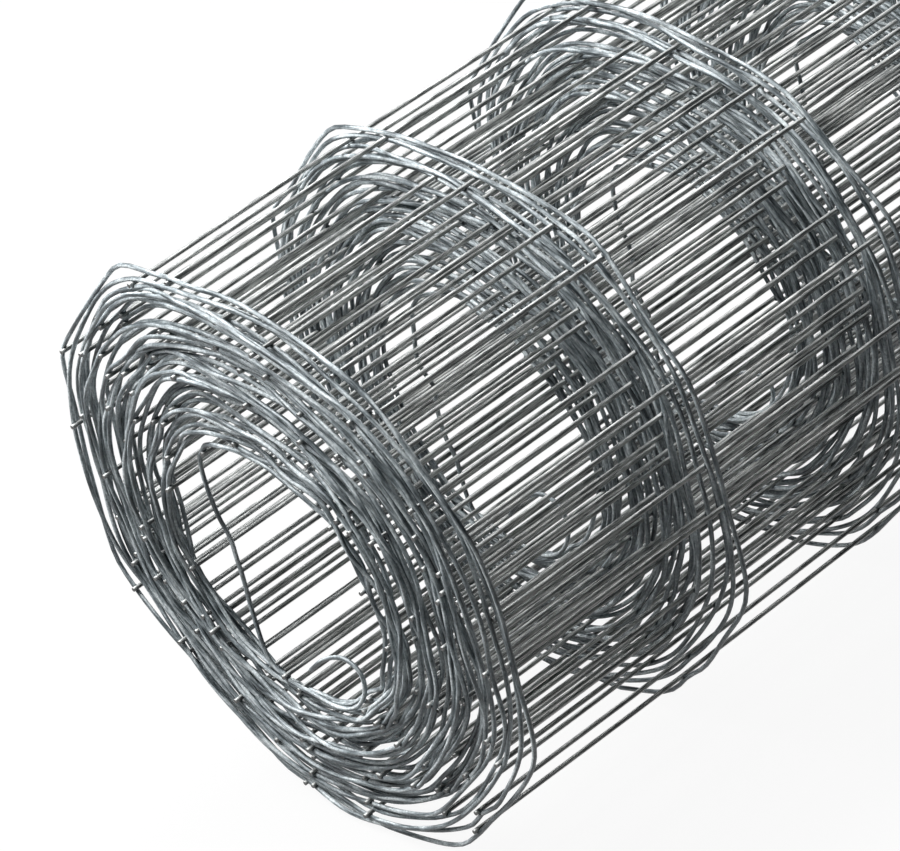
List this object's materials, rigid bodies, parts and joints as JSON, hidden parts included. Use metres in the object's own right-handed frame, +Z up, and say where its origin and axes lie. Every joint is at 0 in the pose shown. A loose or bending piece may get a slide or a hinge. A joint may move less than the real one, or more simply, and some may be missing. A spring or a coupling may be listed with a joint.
{
  "type": "roll of welded wire fencing",
  "caption": "Loose roll of galvanised welded wire fence lying on its side: spiral line wires tied by straight stays as long as the roll, round an open bore.",
  "frame": {"origin": "on the floor, under the middle of the roll", "axes": "+X along the roll's axis, +Z up, the roll lying on a straight run of its outermost turn"},
  "size_m": [1.2086, 0.3412, 0.3326],
  "materials": {
    "galvanised_wire": "dull hot-dip zinc on drawn steel wire, mottled"
  },
  "bodies": {
    "root": {"fence_roll": "galvanised_wire"}
  },
  "joints": []
}
